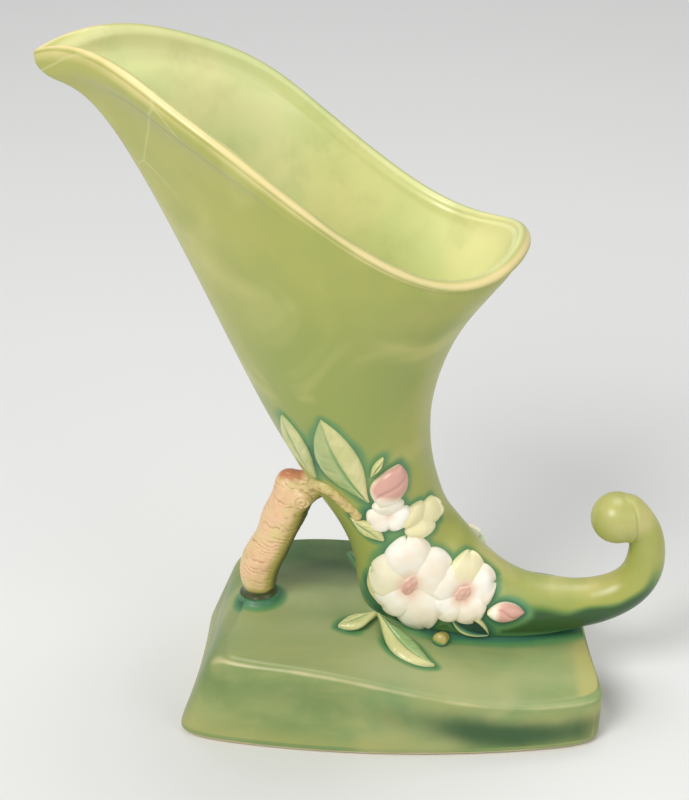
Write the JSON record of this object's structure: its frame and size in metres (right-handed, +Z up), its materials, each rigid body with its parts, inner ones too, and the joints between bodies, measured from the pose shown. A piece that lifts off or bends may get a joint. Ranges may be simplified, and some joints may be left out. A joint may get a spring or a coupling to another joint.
{
  "type": "cornucopia vase",
  "caption": "Footed flower vase: a flared horn with a pointed, S-curved lip and a curled tail, on a waved plinth with a branch prop and a blossom spray.",
  "frame": {"origin": "under the middle of the vase's bounding box, on the plane that the plinth's foot rests on", "axes": "+X from the mouth's pointed tip to the curled tail, +Y to the back, +Z up"},
  "size_m": [0.1822, 0.0844, 0.2088],
  "materials": {
    "green_glaze": "satin",
    "plinth_glaze": "satin",
    "bare_clay": "matt",
    "bark_glaze": "satin",
    "leaf_glaze": "satin",
    "petal_glaze": "satin",
    "pink_glaze": "satin"
  },
  "bodies": {
    "root": {"horn_shell": "green_glaze", "tail_scroll": "green_glaze", "tail_knob": "green_glaze", "plinth_shell": "plinth_glaze", "plinth_floor": "bare_clay", "branch_leg": "bark_glaze", "branch_elbow": "bark_glaze", "branch_cut_end": "bark_glaze", "branch_knot": "bark_glaze", "branch_collar": "plinth_glaze", "branch_twig": "bark_glaze", "blossom_main": "petal_glaze", "blossom_main_eye": "pink_glaze", "blossom_right": "petal_glaze", "blossom_right_eye": "pink_glaze", "blossom_top": "petal_glaze", "blossom_side": "petal_glaze", "bud_top": "pink_glaze", "bud_right": "pink_glaze", "leaf_upper_main": "leaf_glaze", "leaf_upper_left": "leaf_glaze", "leaf_sliver": "leaf_glaze", "leaf_side": "leaf_glaze", "leaf_sepal": "leaf_glaze", "leaf_loop": "leaf_glaze", "leaf_foot_small": "leaf_glaze", "leaf_foot_long": "leaf_glaze", "stem_stub": "bark_glaze", "back_blossom": "petal_glaze", "back_blossom_eye": "pink_glaze", "back_bud": "pink_glaze", "back_leaf_upper": "leaf_glaze", "back_leaf_lower": "leaf_glaze", "back_leaf_foot": "leaf_glaze"}
  },
  "joints": []
}
